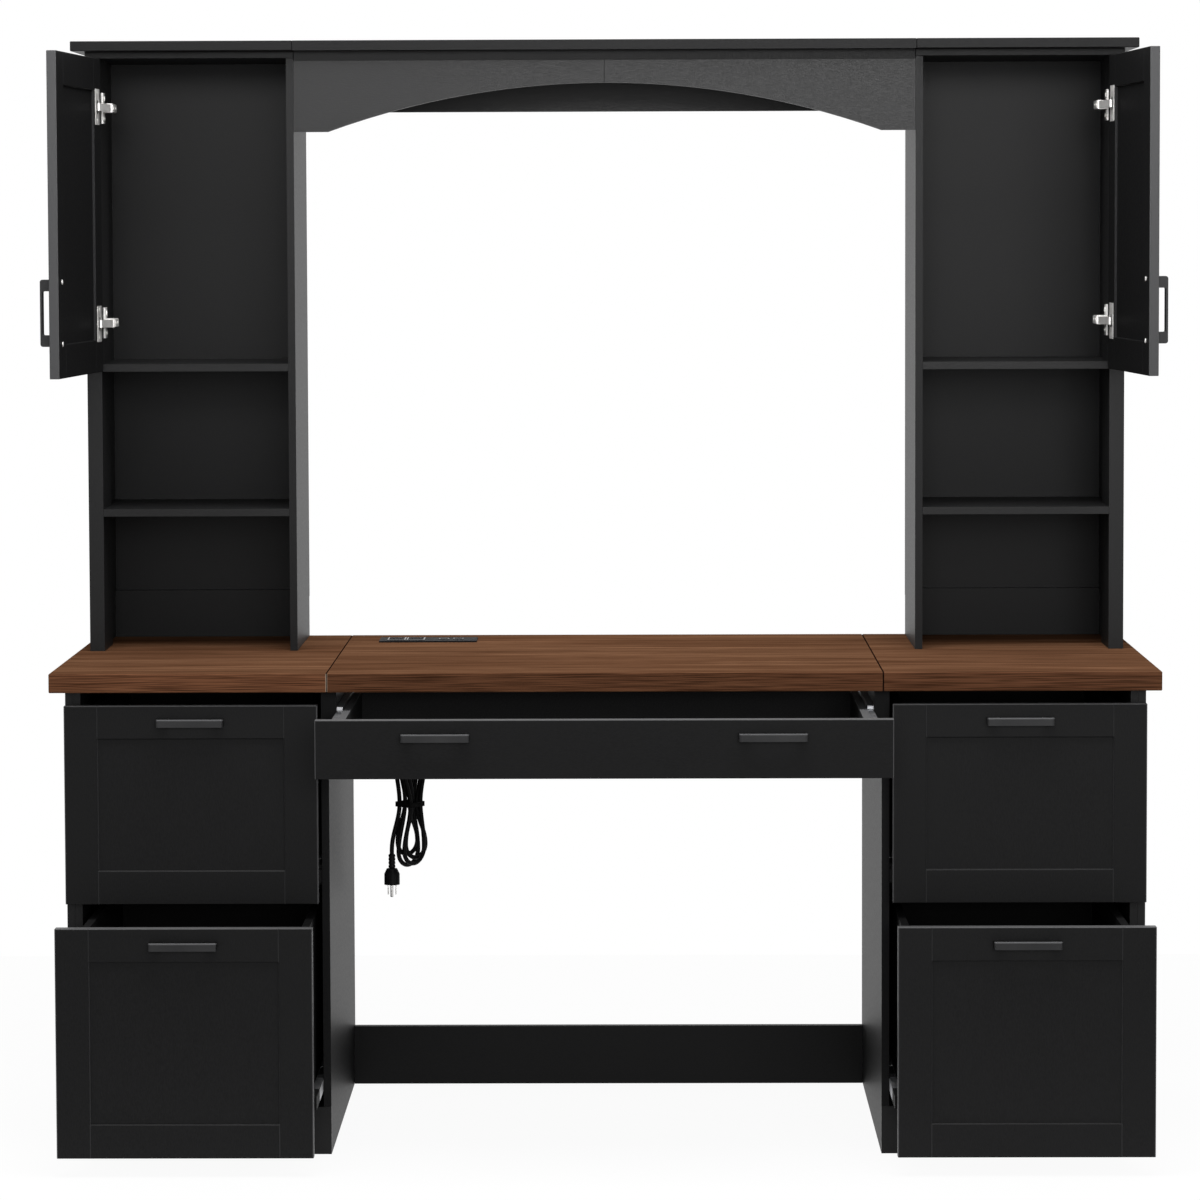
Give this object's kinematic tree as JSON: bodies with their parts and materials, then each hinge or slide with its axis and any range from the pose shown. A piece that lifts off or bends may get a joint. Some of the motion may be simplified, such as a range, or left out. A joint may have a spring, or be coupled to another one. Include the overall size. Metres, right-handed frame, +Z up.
{
  "type": "computer desk with hutch",
  "caption": "Computer desk on drawer pedestals, with a centre drawer, a wood-grain top, a built-in power strip and a hutch with shelves, doors and an arched valance",
  "frame": {"origin": "On the floor, at the middle of the part's box in the rest pose, with doors open and drawers drawn out", "axes": "+X to the sitter's right, +Y to the back of the desk, +Z up"},
  "size_m": [1.743, 0.7548, 1.759],
  "materials": {
    "walnut": "wood-grain laminate, satin",
    "black_board": "black laminate, matte",
    "box_board": "dark board, matte",
    "black_metal": "black, satin",
    "nickel": "nickel plate",
    "black_plastic": "moulded",
    "cord": "smooth sheath",
    "tie": "matte band"
  },
  "bodies": {
    "frame": {"desktop_left": "walnut", "desktop_centre": "walnut", "desktop_right": "walnut", "stretcher": "black_board", "power_strip": "black_plastic", "valance": "black_board", "hutch_back_rail": "black_board", "hutch_top_left": "black_board", "hutch_top_centre": "black_board", "hutch_top_right": "black_board", "cord": "cord", "cord_hank": "cord", "cord_tie": "tie", "plug": "black_plastic", "ped_outer_gable_left": "black_board", "ped_front_frame_left": "black_board", "ped_inner_gable_left": "black_board", "ped_back_left": "black_board", "hutch_outer_gable_left": "black_board", "hutch_inner_gable_left": "black_board", "shelf_low_left": "black_board", "shelf_high_left": "black_board", "tower_back_left": "black_board", "hinge_arm_low_left": "nickel", "hinge_arm_high_left": "nickel", "ped_outer_gable_right": "black_board", "ped_front_frame_right": "black_board", "ped_inner_gable_right": "black_board", "ped_back_right": "black_board", "hutch_outer_gable_right": "black_board", "hutch_inner_gable_right": "black_board", "shelf_low_right": "black_board", "shelf_high_right": "black_board", "tower_back_right": "black_board", "hinge_arm_low_right": "nickel", "hinge_arm_high_right": "nickel"},
    "drawer_upper_left": {"drawer_front_upper_left": "black_board", "drawer_box_upper_left": "box_board", "drawer_handle_upper_left": "black_metal"},
    "drawer_lower_left": {"drawer_front_lower_left": "black_board", "drawer_box_lower_left": "box_board", "drawer_handle_lower_left": "black_metal"},
    "drawer_upper_right": {"drawer_front_upper_right": "black_board", "drawer_box_upper_right": "box_board", "drawer_handle_upper_right": "black_metal"},
    "drawer_lower_right": {"drawer_front_lower_right": "black_board", "drawer_box_lower_right": "box_board", "drawer_handle_lower_right": "black_metal"},
    "drawer_centre": {"drawer_front_centre": "black_board", "drawer_box_centre": "box_board", "drawer_handle_centre_left": "black_metal", "drawer_handle_centre_right": "black_metal"},
    "door_left": {"door_left": "black_board", "door_handle_left": "black_metal"},
    "hinge_links_left": {"hinge_link_low_left": "nickel", "hinge_link_high_left": "nickel"},
    "door_right": {"door_right": "black_board", "door_handle_right": "black_metal"},
    "hinge_links_right": {"hinge_link_low_right": "nickel", "hinge_link_high_right": "nickel"}
  },
  "joints": [
    {"name": "drawer_slide_upper_left", "type": "slide", "parent": "frame", "child": "drawer_upper_left", "axis": [0, -1, 0], "range_m": [-0.016, 0.3215]},
    {"name": "drawer_slide_lower_left", "type": "slide", "parent": "frame", "child": "drawer_lower_left", "axis": [0, -1, 0], "range_m": [-0.14, 0.1975]},
    {"name": "drawer_slide_upper_right", "type": "slide", "parent": "frame", "child": "drawer_upper_right", "axis": [0, -1, 0], "range_m": [-0.016, 0.3215]},
    {"name": "drawer_slide_lower_right", "type": "slide", "parent": "frame", "child": "drawer_lower_right", "axis": [0, -1, 0], "range_m": [-0.14, 0.1975]},
    {"name": "drawer_slide_centre", "type": "slide", "parent": "frame", "child": "drawer_centre", "axis": [0, -1, 0], "range_m": [-0.18, 0.0825]},
    {"name": "door_hinge_left", "type": "hinge", "parent": "frame", "child": "door_left", "pos_m": [-0.839, 0.1078, 1.477], "axis": [0, 0, -1], "range_deg": [-94, 0]},
    {"name": "hinge_link_turn_left", "type": "hinge", "parent": "frame", "child": "hinge_links_left", "pos_m": [-0.807, 0.1374, 1.477], "axis": [0, 0, -1], "range_deg": [-99.2, 0]},
    {"name": "door_hinge_right", "type": "hinge", "parent": "frame", "child": "door_right", "pos_m": [0.839, 0.1078, 1.477], "axis": [0, 0, 1], "range_deg": [-94, 0]},
    {"name": "hinge_link_turn_right", "type": "hinge", "parent": "frame", "child": "hinge_links_right", "pos_m": [0.807, 0.1374, 1.477], "axis": [0, 0, 1], "range_deg": [-99.2, 0]}
  ],
  "couplings": [
    {"joint": "hinge_link_turn_left", "follows": "door_hinge_left", "ratio": 1.0517},
    {"joint": "hinge_link_turn_right", "follows": "door_hinge_right", "ratio": 1.0517}
  ]
}
